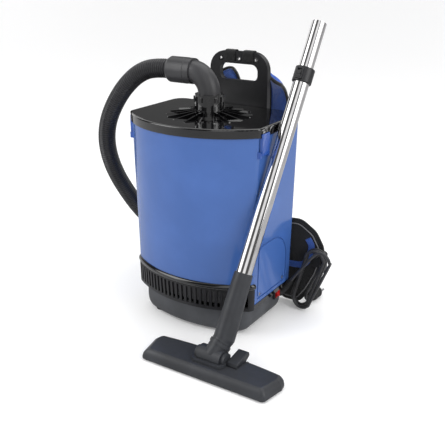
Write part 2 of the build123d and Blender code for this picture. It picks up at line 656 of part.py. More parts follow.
def head_cover():
    """The head's top shell with the neck's cheeks, its trough and the pedal's well."""
    cover = loft([head_face(z, inset) for z, inset in ((4.2, 0), (12, 0.5), (20, 4), (HEAD_TOP_Z, 12))])
    hollow = loft([head_face(z, inset) for z, inset in ((3, 4), (12, 4.5), (20, 9))])
    cover -= hollow
    well = block((PEDAL_X[0] - 5, PEDAL_X[1] + 5), (PEDAL_Y[0] - 5, -160), (10, 23))
    cover += well & loft([head_face(4.2, 0), head_face(23, 5)])
    plinth = extrude(Pos(NECK_PIVOT[0], -206, 12) * RectangleRounded(80, 70, 12), 20, taper=6)
    cover += plinth
    cheek = pivot_rod(15, BARREL_HALF + 0.8, BARREL_HALF + 8)
    cover += cheek + mirror(cheek, about=Plane.YZ.offset(HEAD_X))
    cover -= block((PEDAL_X[0] - 1, PEDAL_X[1] + 1), (PEDAL_Y[0] - 2.5, PEDAL_Y[1] + 2.5), (13, 60))
    cover -= pivot_rod(BARREL_R + 0.6, -BARREL_HALF - 0.6, BARREL_HALF + 0.6)
    cover -= block((HEAD_X - 26, HEAD_X + 26), (NECK_PIVOT[1], -150), (11, 60))
    cover -= block((HEAD_X - 26, HEAD_X + 36), (NECK_PIVOT[1] + 14, -150), (11, 60))
    cover -= block((HEAD_X - 22, HEAD_X + 22), (-232, -196), (3, 14))
    for side in (-1, 1):
        cover -= pivot_rod(6.06, side * BARREL_HALF - 7, side * BARREL_HALF + 7)
    for x in PEDAL_X:
        cover -= Pos(x, *PEDAL_AXIS) * Rot(0, 90, 0) * Cylinder(2.06, 7)
    return cover


def sole_plate():
    """The plate under the head, with the suction mouth, the brush slots and the roller wells."""
    sole = loft([head_face(0.6, 3.5), head_face(4, 1)])
    sole -= block(MOUTH_X, MOUTH_Y, (-1, 9))
    for y in BRUSH_Y:
        sole -= block((18, 288), (y - 4, y + 4), (-1, 9))
    for x in ROLLER_X:
        sole -= block((x - 8, x + 8), (ROLLER_Y - 9, ROLLER_Y + 9), (-1, 9))
        for side in (-1, 1):
            ear = block((x + side * 9.5 - 1.5, x + side * 9.5 + 1.5), (ROLLER_Y - 4, ROLLER_Y + 4), (2, 11))
            sole += ear
        sole -= Pos(x, ROLLER_Y, ROLLER_R) * Rot(0, 90, 0) * Cylinder(1.56, 30)
    return sole


def roller(x):
    wheel = Pos(x, ROLLER_Y, ROLLER_R) * Rot(0, 90, 0) * Cylinder(ROLLER_R, 12)
    return wheel + Pos(x, ROLLER_Y, ROLLER_R) * Rot(0, 90, 0) * Cylinder(1.5, 21)


def brush_strips():
    """Two bristle strips on carriers that the pedal lowers through the sole."""
    strips = []
    for y in BRUSH_Y:
        strips.append(block((20, 286), (y - 3, y + 3), (1.2, 9)))
    return strips


def pedal():
    """The rocker that switches between carpet and hard floor."""
    (x0, x1), (y0, y1) = PEDAL_X, PEDAL_Y
    axis_y, axis_z = PEDAL_AXIS
    outline = ((y0, 26), (y0 + 2, 33), (axis_y, 37), (y1 - 2, 41), (y1, 32), (axis_y + 6, 20), (axis_y - 6, 20))
    body = extrude(Plane.YZ.offset(x0) * make_face(Polyline(*outline, close=True)), x1 - x0)
    body = fillet(body.edges().filter_by(Axis.Z, reverse=True).filter_by(Axis.Y, reverse=True).sort_by(Axis.Z)[-3:], 2)
    body += Pos((x0 + x1) / 2, axis_y, axis_z) * Rot(0, 90, 0) * Cylinder(2, x1 - x0 + 5)
    return body


def neck_tube():
    """The bent neck: its barrel lies in the head, its upper end turns on the wand's knuckle."""
    tube = neck * (rod(21.5, 0, swivel_s - 0.4) + rod(23.5, swivel_s - 8, swivel_s - 0.4))
    tube += pivot_rod(BARREL_R, -BARREL_HALF, BARREL_HALF)
    tube -= neck * rod(15.5, 2, swivel_s + 1)
    for side in (-1, 1):
        tube += pivot_rod(6, side * BARREL_HALF - 6, side * BARREL_HALF + 6)
    tube -= pivot_rod(15.5, -BARREL_HALF + 3, BARREL_HALF - 3)
    return tube


# ---- build every node ----
os.makedirs("parts", exist_ok=True)


def main():
    save(base_tub(), "base_tub")
    save(base_feet(), "base_feet")
    save(base_trim(), "base_trim")
    save(housing_shell(), "housing_shell")
    save(side_cover(), "side_cover_right")
    save(mirror(side_cover(), about=Plane.YZ), "side_cover_left")
    save(case_screws(), "case_screws")
    save(exhaust_grille(), "exhaust_grille")
    save(grille_lip(), "grille_lip")
    save(exhaust_filter(), "exhaust_filter")
    save(motor_deck(), "motor_deck")
    save(motor_can(), "motor_can")
    save(fan_shroud(), "fan_shroud")
    save(motor_seal(), "motor_seal")
    save(impeller(), "impeller")
    save(filter_bag(), "filter_bag")
    save(lid(), "lid")
    save(lid_gasket(), "lid_gasket")
    save(inlet_flange(), "inlet_flange")
    save(ring_nut(), "ring_nut")
    save(elbow(), "elbow")
    save(hose_cuff(), "hose_cuff")
    save(both_sides(latch_bracket()), "latch_brackets")
    save(latch(), "latch_right")
    save(mirror(latch(), about=Plane.YZ), "latch_left")
    save(back_plate(), "back_plate")
    save(plate_eyelets(), "plate_eyelets")
    save(lift_loops(), "lift_loops")
    save(back_pad(), "back_pad")
    save(shoulder_strap(), "shoulder_strap_right")
    save(mirror(shoulder_strap(), about=Plane.YZ), "shoulder_strap_left")
    save(harness_webbing(), "harness_webbing")
    save(harness_buckles(), "harness_buckles")
    save(hip_wing(), "hip_belt_right")
    save(mirror(hip_wing(), about=Plane.YZ), "hip_belt_left")
    save(switch_bezel(), "switch_bezel")
    save(rocker_switch(), "rocker_switch")
    save(cord_gland(), "cord_gland")
    save(soft_tube("mains_cord", LEAD_ROUTE, LEAD_R), "mains_cord")
    save(cord_hank(), "cord_hank")
    save(cord_hook(), "cord_hook")
    save(mains_plug(), "mains_plug")
    save(soft_tube("suction_hose", HOSE_ROUTE, HOSE_R), "suction_hose")
    save(hose_end_cuff(), "hose_end_cuff")
    save(curved_handle(), "curved_handle")
    save(air_slider(), "air_slider")
    save(wand_socket(), "wand_socket")
    save(wand_tube_lower(), "wand_tube_lower")
    save(wand_collar(), "wand_collar")
    save(telescope_button(), "telescope_button")
    save(wand_tube_upper(), "wand_tube_upper")
    save(neck_tube(), "neck_tube")
    save(head_cover(), "head_cover")
    save(sole_plate(), "sole_plate")
    save(roller(ROLLER_X[0]), "roller_left")
    save(roller(ROLLER_X[1]), "roller_right")
    save(brush_strips(), "brush_strips")
    save(pedal(), "pedal")


main()
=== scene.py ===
import json
import math
import random

import bpy
import numpy as np
from mathutils import Vector, geometry, noise
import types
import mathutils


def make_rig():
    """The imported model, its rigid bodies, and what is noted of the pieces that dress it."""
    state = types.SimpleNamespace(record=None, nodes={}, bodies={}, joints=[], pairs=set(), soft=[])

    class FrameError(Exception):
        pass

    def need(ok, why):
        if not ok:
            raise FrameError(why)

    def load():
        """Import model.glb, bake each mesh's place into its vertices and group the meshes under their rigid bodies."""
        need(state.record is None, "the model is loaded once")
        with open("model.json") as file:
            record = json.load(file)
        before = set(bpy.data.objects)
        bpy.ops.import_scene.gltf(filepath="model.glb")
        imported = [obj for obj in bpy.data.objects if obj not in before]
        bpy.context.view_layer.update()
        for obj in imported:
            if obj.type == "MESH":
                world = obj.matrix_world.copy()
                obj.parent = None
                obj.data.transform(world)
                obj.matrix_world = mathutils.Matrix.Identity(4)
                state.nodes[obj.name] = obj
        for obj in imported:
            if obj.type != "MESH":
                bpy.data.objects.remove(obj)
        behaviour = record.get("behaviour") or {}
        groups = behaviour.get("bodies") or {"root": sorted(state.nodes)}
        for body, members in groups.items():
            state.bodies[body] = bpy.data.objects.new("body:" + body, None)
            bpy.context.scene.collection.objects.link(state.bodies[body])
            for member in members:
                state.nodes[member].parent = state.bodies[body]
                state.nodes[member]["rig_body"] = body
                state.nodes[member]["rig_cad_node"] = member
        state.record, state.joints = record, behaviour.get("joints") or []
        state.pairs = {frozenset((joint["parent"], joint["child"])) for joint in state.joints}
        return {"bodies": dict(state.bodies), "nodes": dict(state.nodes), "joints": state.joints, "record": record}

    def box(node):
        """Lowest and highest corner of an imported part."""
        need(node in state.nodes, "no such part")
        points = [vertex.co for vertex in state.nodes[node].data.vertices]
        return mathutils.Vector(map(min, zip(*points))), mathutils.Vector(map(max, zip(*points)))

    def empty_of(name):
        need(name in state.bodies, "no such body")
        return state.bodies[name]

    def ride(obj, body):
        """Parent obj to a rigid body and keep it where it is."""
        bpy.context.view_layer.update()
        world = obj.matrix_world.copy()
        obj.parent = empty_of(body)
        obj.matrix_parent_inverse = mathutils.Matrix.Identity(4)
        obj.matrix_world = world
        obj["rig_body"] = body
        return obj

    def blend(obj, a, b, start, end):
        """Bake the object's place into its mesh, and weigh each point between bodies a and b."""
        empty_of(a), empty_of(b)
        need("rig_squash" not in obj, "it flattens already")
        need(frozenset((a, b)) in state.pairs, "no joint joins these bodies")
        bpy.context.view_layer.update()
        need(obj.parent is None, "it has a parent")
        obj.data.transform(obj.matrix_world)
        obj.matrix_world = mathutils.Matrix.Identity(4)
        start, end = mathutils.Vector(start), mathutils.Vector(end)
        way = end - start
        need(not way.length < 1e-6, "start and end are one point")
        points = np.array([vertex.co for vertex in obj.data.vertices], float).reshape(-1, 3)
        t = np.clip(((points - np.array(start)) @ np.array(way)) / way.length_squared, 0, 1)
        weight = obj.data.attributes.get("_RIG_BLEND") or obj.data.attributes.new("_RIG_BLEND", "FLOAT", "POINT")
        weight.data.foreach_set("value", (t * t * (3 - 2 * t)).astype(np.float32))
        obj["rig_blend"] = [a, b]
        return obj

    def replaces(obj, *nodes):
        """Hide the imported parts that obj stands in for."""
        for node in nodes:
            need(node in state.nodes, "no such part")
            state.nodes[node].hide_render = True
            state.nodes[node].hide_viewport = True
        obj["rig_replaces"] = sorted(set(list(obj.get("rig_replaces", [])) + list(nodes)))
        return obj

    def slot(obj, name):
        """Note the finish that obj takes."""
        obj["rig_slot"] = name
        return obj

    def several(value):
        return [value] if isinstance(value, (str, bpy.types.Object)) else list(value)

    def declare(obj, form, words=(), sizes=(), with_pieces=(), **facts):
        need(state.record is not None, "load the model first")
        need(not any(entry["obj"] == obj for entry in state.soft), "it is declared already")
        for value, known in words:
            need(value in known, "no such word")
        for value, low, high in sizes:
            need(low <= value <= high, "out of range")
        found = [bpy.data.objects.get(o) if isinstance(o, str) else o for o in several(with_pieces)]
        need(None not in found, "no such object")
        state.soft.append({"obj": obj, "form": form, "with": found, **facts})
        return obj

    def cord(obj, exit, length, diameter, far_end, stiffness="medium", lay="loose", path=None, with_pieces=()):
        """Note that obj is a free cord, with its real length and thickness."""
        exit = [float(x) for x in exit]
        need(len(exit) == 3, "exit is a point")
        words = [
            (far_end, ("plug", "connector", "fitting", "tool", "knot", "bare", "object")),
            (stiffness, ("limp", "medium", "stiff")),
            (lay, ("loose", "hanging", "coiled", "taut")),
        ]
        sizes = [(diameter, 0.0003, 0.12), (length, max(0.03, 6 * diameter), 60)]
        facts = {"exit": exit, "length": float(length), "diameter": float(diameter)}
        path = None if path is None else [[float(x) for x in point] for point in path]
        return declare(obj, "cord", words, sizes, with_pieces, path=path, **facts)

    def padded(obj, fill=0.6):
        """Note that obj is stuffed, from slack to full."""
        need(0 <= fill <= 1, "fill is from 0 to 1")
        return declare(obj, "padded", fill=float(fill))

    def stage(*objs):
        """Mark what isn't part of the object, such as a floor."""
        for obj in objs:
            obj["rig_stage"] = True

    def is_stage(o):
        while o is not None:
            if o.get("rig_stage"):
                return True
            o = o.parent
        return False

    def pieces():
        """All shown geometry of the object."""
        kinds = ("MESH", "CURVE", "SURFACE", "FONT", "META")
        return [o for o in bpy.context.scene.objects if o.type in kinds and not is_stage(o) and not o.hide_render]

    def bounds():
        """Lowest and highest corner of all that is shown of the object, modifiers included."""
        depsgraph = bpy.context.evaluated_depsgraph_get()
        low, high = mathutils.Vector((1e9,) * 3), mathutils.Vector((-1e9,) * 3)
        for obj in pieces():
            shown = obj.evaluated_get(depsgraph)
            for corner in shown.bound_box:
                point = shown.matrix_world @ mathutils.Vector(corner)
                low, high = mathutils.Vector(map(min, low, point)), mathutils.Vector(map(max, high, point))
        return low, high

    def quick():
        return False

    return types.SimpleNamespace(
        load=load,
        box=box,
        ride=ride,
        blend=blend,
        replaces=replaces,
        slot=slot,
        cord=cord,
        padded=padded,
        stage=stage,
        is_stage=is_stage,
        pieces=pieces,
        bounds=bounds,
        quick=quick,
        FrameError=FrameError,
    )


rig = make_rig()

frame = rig.load()
cad_low, cad_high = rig.bounds()
scene = bpy.context.scene
random.seed(5)

# The camera's place, the point that it looks at and its lens, in metres and millimetres.
CAMERA_AT = Vector((0.839, -1.243, 0.796))
CAMERA_TARGET = Vector((0.0413, 0.0, 0.2319))
CAMERA_LENS = 56.6

# The routes of the lead and the hose, in metres.
LEAD_RADIUS = 0.0035
LEAD_ROUTE = [
    (0.167, 0.104, 0.080),
    (0.178, 0.1035, 0.096),
    (0.191, 0.1045, 0.114),
    (0.203, 0.1065, 0.131),
    (0.213, 0.1095, 0.145),
    (0.222, 0.114, 0.1545),
]
HOSE_RADIUS = 0.021
HOSE_ROUTE = [
    (-0.095, 0.003, 0.564),
    (-0.142, 0.003, 0.564),
    (-0.188, 0.003, 0.546),
    (-0.229, 0.003, 0.512),
    (-0.263, 0.004, 0.470),
    (-0.290, 0.007, 0.424),
    (-0.304, 0.013, 0.376),
    (-0.308, 0.026, 0.326),
    (-0.305, 0.046, 0.276),
    (-0.300, 0.074, 0.228),
    (-0.298, 0.110, 0.178),
    (-0.300, 0.156, 0.130),
    (-0.298, 0.210, 0.082),
    (-0.276, 0.262, 0.044),
    (-0.232, 0.302, 0.026),
    (-0.172, 0.324, 0.025),
    (-0.112, 0.322, 0.0255),
    (-0.060, 0.304, 0.0255),
]


# ---- materials ----
class Material:
    """A material on the principled shader, with short calls for the nodes that feed it."""

    def __init__(self, name, **sockets):
        self.data = bpy.data.materials.new(name)
        self.data.use_nodes = True
        self.tree = self.data.node_tree
        self.shader = self.tree.nodes["Principled BSDF"]
        self.place = self.node("ShaderNodeTexCoord").outputs["Object"]
        self.feed(**sockets)

    def put(self, socket, value):
        if isinstance(value, bpy.types.NodeSocket):
            self.tree.links.new(value, socket)
        elif socket.type == "RGBA":
            socket.default_value = (*value, 1.0)
        else:
            socket.default_value = value

    def feed(self, **sockets):
        for name, value in sockets.items():
            self.put(self.shader.inputs[name.replace("_", " ")], value)

    def node(self, kind, settings=None, **sockets):
        made = self.tree.nodes.new(kind)
        for name, value in (settings or {}).items():
            setattr(made, name, value)
        for name, value in sockets.items():
            self.put(made.inputs[name.replace("_", " ")], value)
        return made

    def stretched(self, x, y, z):
        return self.node("ShaderNodeMapping", Vector=self.place, Scale=(x, y, z)).outputs["Vector"]

    def noise(self, scale, detail=3.0, at=None):
        made = self.node("ShaderNodeTexNoise", Vector=at or self.place, Scale=scale, Detail=detail)
        return made.outputs["Fac"]

    def cells(self, scale, feature="F1", at=None):
        made = self.node("ShaderNodeTexVoronoi", {"feature": feature}, Vector=at or self.place, Scale=scale)
        return made.outputs["Distance"]

    def wave(self, pitch, direction, at=None):
        """Ridges a pitch apart, in metres, across one axis."""
        settings = {"bands_direction": direction}
        scale = 2 * math.pi / (20 * pitch)
        made = self.node("ShaderNodeTexWave", settings, Vector=at or self.place, Scale=scale)
        return made.outputs["Fac"]

    def remap(self, value, low, high, to_low, to_high):
        made = self.node("ShaderNodeMapRange", Value=value, From_Min=low, From_Max=high,
                         To_Min=to_low, To_Max=to_high)
        return made.outputs["Result"]

    def math(self, operation, a, b):
        made = self.node("ShaderNodeMath", {"operation": operation})
        self.put(made.inputs[0], a)
        self.put(made.inputs[1], b)
        return made.outputs["Value"]

    def mix(self, amount, a, b):
        made = self.node("ShaderNodeMix", {"data_type": "RGBA"})
        self.put(made.inputs[0], amount)
        self.put(made.inputs[6], a)
        self.put(made.inputs[7], b)
        return made.outputs[2]

    def bump(self, height, depth, below=None):
        made = self.node("ShaderNodeBump", Height=height, Distance=depth, Strength=1.0)
        if below is not None:
            self.put(made.inputs["Normal"], below)
        return made.outputs["Normal"]


def shade(colour, factor):
    return tuple(min(1.0, channel * factor) for channel in colour)


def gloss(name, colour, rough=0.12, coat=0.6):
    """Polished moulding: a faint waviness, hair scratches, and dust that dulls it in patches."""
    made = Material(name, Coat_Weight=coat, Coat_Roughness=0.05, IOR=1.5)
    dust = made.remap(made.noise(9, 6), 0.45, 0.72, 0.0, 1.0)
    hairs = made.noise(900, 2, made.stretched(1, 0.25, 0.04))
    made.feed(
        Base_Color=made.mix(dust, shade(colour, 0.96), shade(colour, 1.10)),
        Roughness=made.math("ADD", made.remap(dust, 0, 1, rough, rough + 0.07),
                            made.remap(hairs, 0.55, 0.75, 0.0, 0.06)),
        Normal=made.bump(hairs, 0.000004, made.bump(made.noise(34, 2), 0.00022)),
    )
    return made.data


def moulded(name, colour, rough=0.46, grain=0.0009, depth=0.00005):
    """Satin moulding with a spark-eroded grain, rubbed smoother and paler in places."""
    made = Material(name, IOR=1.48)
    rubbed = made.remap(made.noise(14, 5), 0.42, 0.70, 0.0, 1.0)
    pits = made.cells(1 / grain, "SMOOTH_F1")
    made.feed(
        Base_Color=made.mix(rubbed, shade(colour, 0.88), shade(colour, 1.25)),
        Roughness=made.remap(rubbed, 0, 1, rough + 0.05, rough - 0.06),
        Normal=made.bump(pits, depth, made.bump(made.noise(55, 3), 0.00012)),
    )
    return made.data


def chrome(name):
    """Plated steel tube: drawn lines along it, pin-point haze and a little waviness."""
    made = Material(name, Metallic=1.0)
    lines = made.noise(700, 2, made.stretched(1, 1, 0.02))
    haze = made.remap(made.noise(60, 5), 0.4, 0.75, 0.0, 1.0)
    made.feed(
        Base_Color=made.mix(haze, (0.76, 0.75, 0.75), (0.64, 0.63, 0.64)),
        Roughness=made.remap(haze, 0, 1, 0.05, 0.13),
        Normal=made.bump(lines, 0.000012, made.bump(made.noise(45, 2), 0.00008)),
    )
    return made.data


def metal(name, colour, rough=0.35):
    """Cast or rolled metal with a soft mottled grain."""
    made = Material(name, Metallic=1.0)
    mottle = made.noise(90, 6)
    made.feed(
        Base_Color=made.mix(mottle, shade(colour, 0.8), shade(colour, 1.15)),
        Roughness=made.remap(mottle, 0.3, 0.7, rough - 0.08, rough + 0.12),
        Normal=made.bump(made.noise(420, 4), 0.00008),
    )
    return made.data


def rubber(name, colour):
    """Dull rubber with a fine tooth and a grey bloom."""
    made = Material(name, IOR=1.45)
    bloom = made.remap(made.noise(26, 5), 0.45, 0.75, 0.0, 1.0)
    made.feed(
        Base_Color=made.mix(bloom, colour, shade(colour, 1.7)),
        Roughness=made.remap(bloom, 0, 1, 0.62, 0.8),
        Normal=made.bump(made.noise(1300, 3), 0.00006),
    )
    return made.data


def woven(name, colour, pitch=0.0011, depth=0.00022, across=("X", "Z"), sheen=0.35):
    """Plain-woven cloth: crossing threads, slubs in the yarn, faded patches, and painted shade in the gaps between
    threads.
    """
    made = Material(name, Sheen_Weight=sheen, Sheen_Roughness=0.45, IOR=1.4)
    warp = made.wave(pitch, across[0])
    weft = made.wave(pitch, across[1])
    threads = made.math("MAXIMUM", warp, weft)
    # holes marks the gaps between threads; the base colour darkens them to 0.35 of the colour as painted shade
    holes = made.math("MULTIPLY", made.math("SUBTRACT", 1.0, warp), made.math("SUBTRACT", 1.0, weft))
    faded = made.remap(made.noise(18, 6), 0.4, 0.7, 0.0, 1.0)
    yarn = made.mix(faded, shade(colour, 0.85), shade(colour, 1.2))
    made.feed(
        Base_Color=made.mix(made.remap(holes, 0.2, 0.8, 0.0, 1.0), yarn, shade(colour, 0.35)),
        Roughness=made.remap(faded, 0, 1, 0.78, 0.9),
        Normal=made.bump(threads, depth, made.bump(made.noise(240, 4), 0.0002)),
    )
    return made.data


def spacer_mesh(name, colour):
    """Open knitted mesh: a diamond net of holes, darkened inside as painted shade."""
    made = Material(name, Sheen_Weight=0.3, Sheen_Roughness=0.5)
    turn = made.node("ShaderNodeMapping", Vector=made.place, Rotation=(0.0, math.pi / 4, 0.0))
    turned = turn.outputs["Vector"]
    net = made.math("MULTIPLY", made.wave(0.0026, "X", turned), made.wave(0.0026, "Z", turned))
    # hole marks the holes; the base colour darkens them to 0.22 of the colour as painted shade
    hole = made.remap(net, 0.25, 0.5, 0.0, 1.0)
    made.feed(
        Base_Color=made.mix(hole, colour, shade(colour, 0.22)),
        Roughness=made.remap(made.noise(300, 3), 0.3, 0.7, 0.7, 0.9),
        Normal=made.bump(made.math("SUBTRACT", 1.0, hole), 0.0005),
    )
    return made.data


def translucent(name, colour):
    """Tinted clear plastic of the lit rocker."""
    made = Material(name, Transmission_Weight=0.35, IOR=1.49, Coat_Weight=0.5)
    haze = made.noise(120, 3)
    made.feed(
        Base_Color=made.mix(haze, colour, shade(colour, 1.4)),
        Roughness=made.remap(haze, 0.3, 0.7, 0.12, 0.24),
        Normal=made.bump(made.noise(60, 2), 0.0001),
    )
    return made.data


def foam(name, colour):
    """Open-cell foam, its pores painted darker as painted shade and its cell walls lighter as painted light."""
    made = Material(name)
    cells = made.cells(700)
    made.feed(
        # pore centres take 0.4 of the colour as painted shade; cell walls take up to 1.6 of it as painted light
        Base_Color=made.mix(cells, shade(colour, 0.4), shade(colour, 1.6)),
        Roughness=made.remap(made.noise(90, 3), 0.3, 0.7, 0.85, 1.0),
        Normal=made.bump(cells, 0.0006),
    )
    return made.data


BLUE = (0.048, 0.119, 0.362)
SHELL = gloss("housing_gloss", BLUE, 0.16, 0.35)
# The side covers take the housing blue made 4% lighter: painted light for the paler look of the side faces.
COVER = gloss("cover_gloss", shade(BLUE, 1.04), 0.20, 0.3)
BLACK_GLOSS = gloss("lid_gloss", (0.003, 0.003, 0.0035), 0.06, 0.9)
SATIN = moulded("moulded_satin", (0.012, 0.012, 0.014), 0.34)
ELBOW = moulded("elbow_satin", (0.036, 0.036, 0.039), 0.36, 0.0008)
TUB = moulded("tub_satin", (0.054, 0.057, 0.064), 0.40)
TOOL = moulded("tool_satin", (0.026, 0.028, 0.033), 0.42)
HOSE = moulded("hose_satin", (0.018, 0.018, 0.021), 0.30, 0.0014, 0.00002)
LATCH = gloss("latch_gloss", (0.02, 0.075, 0.33), 0.25, 0.3)
CHROME = chrome("chrome_plate")
RUBBER = rubber("rubber_dull", (0.013, 0.013, 0.014))
SHEATH = moulded("lead_sheath", (0.034, 0.034, 0.037), 0.30, 0.0020, 0.00001)
PALE = moulded("fan_satin", (0.10, 0.10, 0.11), 0.5)
SWITCH = translucent("switch_tint", (0.42, 0.010, 0.009))
STEEL = metal("screw_steel_grain", (0.42, 0.42, 0.44), 0.32)
CAST = metal("motor_cast", (0.52, 0.52, 0.54), 0.42)
BLUE_CLOTH = woven("strap_weave", (0.032, 0.105, 0.46))
BLUE_MESH = spacer_mesh("strap_mesh", (0.035, 0.12, 0.50))
BLACK_CLOTH = woven("belt_weave", (0.012, 0.012, 0.014), 0.0013, 0.0003)
BINDING = woven("binding_weave", (0.010, 0.010, 0.011), 0.0009, 0.00018, ("Z", "X"))
PIPING = woven("piping_weave", (0.21, 0.21, 0.22), 0.0008, 0.00015)
TAPE = woven("tape_weave", (0.012, 0.012, 0.013), 0.0016, 0.00035, ("Z", "X"), 0.2)
FLEECE = foam("fleece", (0.56, 0.54, 0.49))
FOAM = foam("filter_foam", (0.045, 0.045, 0.048))
BRISTLE = woven("bristle_strands", (0.012, 0.012, 0.012), 0.0006, 0.0001)

CAD_LOOKS = {
    SHELL: ["housing_shell"],
    COVER: ["side_cover_right", "side_cover_left"],
    BLACK_GLOSS: ["lid", "base_trim", "grille_lip", "inlet_flange", "ring_nut"],
    SATIN: ["motor_deck", "switch_bezel", "cord_hook",
            "wand_collar", "harness_buckles", "back_plate", "exhaust_grille", "telescope_button"],
    ELBOW: ["elbow", "hose_cuff", "hose_end_cuff", "air_slider"],
    TUB: ["base_tub"],
    TOOL: ["wand_socket", "neck_tube", "head_cover", "pedal", "sole_plate"],
    LATCH: ["latch_right", "latch_left", "latch_brackets"],
    CHROME: ["wand_tube_lower", "wand_tube_upper", "curved_handle", "plate_eyelets"],
    RUBBER: ["base_feet", "lid_gasket", "motor_seal", "roller_left", "roller_right", "cord_gland"],
    PALE: ["fan_shroud", "impeller"],
    SWITCH: ["rocker_switch"],
    STEEL: ["case_screws"],
    CAST: ["motor_can"],
}


def paint_cad_nodes():
    for material, names in CAD_LOOKS.items():
        for name in names:
            slots = frame["nodes"][name].data.materials
            slots.clear()
            slots.append(material)


# ---- mesh helpers ----
def add_mesh(name, points, faces):
    mesh = bpy.data.meshes.new(name)
    mesh.from_pydata([tuple(point) for point in points], [], faces)
    mesh.validate()
    mesh.shade_smooth()
    piece = bpy.data.objects.new(name, mesh)
    scene.collection.objects.link(piece)
    return piece


def add_curve(name, points, radius=0.0):
    """A NURBS curve with these control points, round in section."""
    curve = bpy.data.curves.new(name, "CURVE")
    curve.dimensions = "3D"
    curve.resolution_u = 8
    spline = curve.splines.new("NURBS")
    spline.points.add(len(points) - 1)
    for point, place in zip(spline.points, points):
        point.co = (*place, 1.0)
    spline.order_u = 3
    spline.use_endpoint_u = True
    curve.bevel_depth = radius
    curve.bevel_resolution = 5
    curve.use_fill_caps = radius > 0
    piece = bpy.data.objects.new(name, curve)
    scene.collection.objects.link(piece)
    return piece


def line_of(points):
    """The points along a NURBS curve with these control points."""
    curve = add_curve("guide", points)
    mesh = bpy.data.meshes.new_from_object(curve)
    line = [vertex.co.copy() for vertex in mesh.vertices]
    bpy.data.objects.remove(curve)
    return line


def through(points, count=10):
    """A smooth line that passes through every point."""
    ends = [2 * points[0] - points[1], *points, 2 * points[-1] - points[-2]]
    line = []
    for a, b, c, d in zip(ends, ends[1:], ends[2:], ends[3:]):
        for k in range(count):
            t = k / count
            line.append(0.5 * (2 * b + (c - a) * t + (2 * a - 5 * b + 4 * c - d) * t ** 2
                               + (3 * b - a - 3 * c + d) * t ** 3))
    return line + [points[-1]]


def evenly(line, step, closed=False):
    """The same line in equal steps of about the length asked for."""
    line = line + line[:1] if closed else line
    runs = [(b - a).length for a, b in zip(line, line[1:])]
    total = sum(runs)
    count = max(2, round(total / step))
    found, i, gone = [], 0, 0.0
    for k in range(count if closed else count + 1):
        target = total * k / count
        while i < len(runs) - 1 and gone + runs[i] < target:
            gone += runs[i]
            i += 1
        found.append(line[i].lerp(line[i + 1], (target - gone) / max(runs[i], 1e-9)))
    return found


def frames(line, side=None, closed=False):
    """Each point of a line with its direction and two more that are square to it."""
    found = []
    last = len(line) - 1
    for i, point in enumerate(line):
        before = line[i - 1] if i or closed else line[0]
        after = line[(i + 1) % len(line)] if i < last or closed else line[last]
        along = (after - before).normalized()
        side = along.orthogonal() if side is None else side
        side = (side - along * side.dot(along)).normalized()
        found.append((point, along, side, along.cross(side)))
    return found


def skin(name, rings, closed=False):
    """A skin through rings of points: capped at its ends, or joined into a loop."""
    around = len(rings[0])
    points = [point for ring in rings for point in ring]
    faces = []
    for i in range(len(rings) if closed else len(rings) - 1):
        low, high = i * around, (i + 1) % len(rings) * around
        faces += [(low + k, low + (k + 1) % around, high + (k + 1) % around, high + k)
                  for k in range(around)]
    if not closed:
        faces.append(tuple(reversed(range(around))))
        faces.append(tuple(range(len(points) - around, len(points))))
    return add_mesh(name, points, faces)


def oval(width, thick, count, squareness=1.0):
    """A flat section: an ellipse, or a boxier one where squareness is under 1."""
    section = []
    for k in range(count):
        c, s = math.cos(2 * math.pi * k / count), math.sin(2 * math.pi * k / count)
        u = math.copysign(abs(c) ** squareness, c) * width / 2
        v = math.copysign(abs(s) ** squareness, s) * thick / 2
        section.append((u, v))
    return section


def band(name, line, side, section, closed=False):
    """A section carried along a line; its width lies along side."""
    rings = [[point + across * u + out * v for u, v in section]
             for point, along, across, out in frames(line, side, closed)]
    return skin(name, rings, closed)


def rounded(corners, radii, step):
    """A closed outline through corners, each rounded, as points a step apart."""
    points = []
    count = len(corners)
    for i, radius in enumerate(radii):
        here = Vector(corners[i])
        back = (Vector(corners[i - 1]) - here).normalized()
        on = (Vector(corners[(i + 1) % count]) - here).normalized()
        half = back.angle(on) / 2
        reach = radius / math.tan(half)
        start, end = here + back * reach, here + on * reach
        centre = here + (back + on).normalized() * radius / math.sin(half)
        for k in range(9):
            spoke = (start.lerp(end, k / 8) - centre).normalized() * radius
            points.append(centre + spoke)
    return evenly([Vector((*point, 0.0)) for point in points], step, closed=True)


def rim_distance(points, outline):
    """How far each flat point is from the outline."""
    start = np.array([point[:2] for point in outline])
    run = np.roll(start, -1, axis=0) - start
    offset = np.array(points)[:, None, :] - start[None]
    share = np.clip((offset * run).sum(2) / (run * run).sum(1), 0, 1)
    return np.linalg.norm(offset - share[..., None] * run, axis=2).min(1)


def pillow(name, outline, step, height, place):
    """A pad over a flat outline: height(u, v, rim) gives how far each face stands out, front and back."""
    us, vs = [point.x for point in outline], [point.y for point in outline]
    grid = [(u, v) for v in np.arange(min(vs), max(vs), step * 0.87)
            for u in np.arange(min(us), max(us), step)]
    far = rim_distance(grid, outline)
    inner = [Vector(point) for point, distance in zip(grid, far) if distance > step * 0.6]
    flat = [point.to_2d() for point in outline] + inner
    edges = [(i, (i + 1) % len(outline)) for i in range(len(outline))]
    points, _, faces, _, _, _ = geometry.delaunay_2d_cdt(flat, edges, [], 1, 1e-7)
    far = rim_distance([tuple(point) for point in points], outline)
    front, back, shared = [], [], {}
    for i, (point, rim) in enumerate(zip(points, far)):
        out, behind = height(point.x, point.y, rim)
        front.append(place(point.x, point.y, out if rim > 1e-6 else 0.0))
        if rim > 1e-6:
            shared[i] = len(points) + len(back)
            back.append(place(point.x, point.y, -behind))
    skinned = [tuple(face) for face in faces]
    skinned += [tuple(shared.get(i, i) for i in reversed(face)) for face in faces]
    return add_mesh(name, front + back, skinned)


